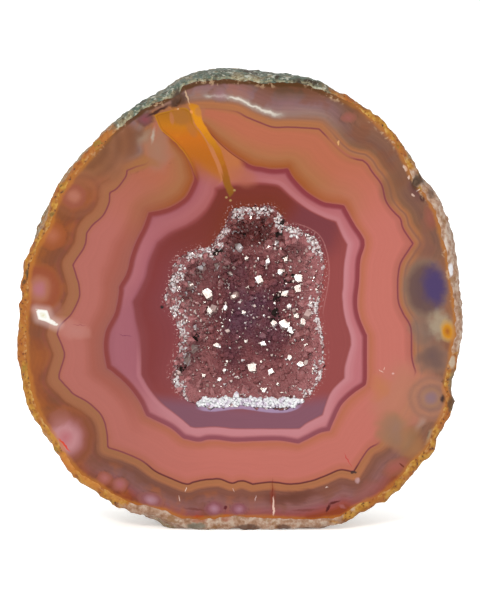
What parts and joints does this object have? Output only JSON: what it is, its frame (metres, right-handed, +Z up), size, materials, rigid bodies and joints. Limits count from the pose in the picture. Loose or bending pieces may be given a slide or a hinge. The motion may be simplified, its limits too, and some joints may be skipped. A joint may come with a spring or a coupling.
{
  "type": "agate nodule half",
  "caption": "Half of a sawn agate nodule with a polished banded face, a rough rind and a hollow lined by small quartz crystals, standing on a flat of its rind.",
  "frame": {"origin": "on the ground, under the middle of the stone's bounding box", "axes": "+Z up from the seat, -Y out of the polished face, +X to the right as the face is looked at"},
  "size_m": [0.0893, 0.0466, 0.0925],
  "materials": {
    "agate": "polished",
    "quartz": "gloss"
  },
  "bodies": {
    "root": {"agate_nodule": "agate", "crystal_crust": "quartz"}
  },
  "joints": []
}
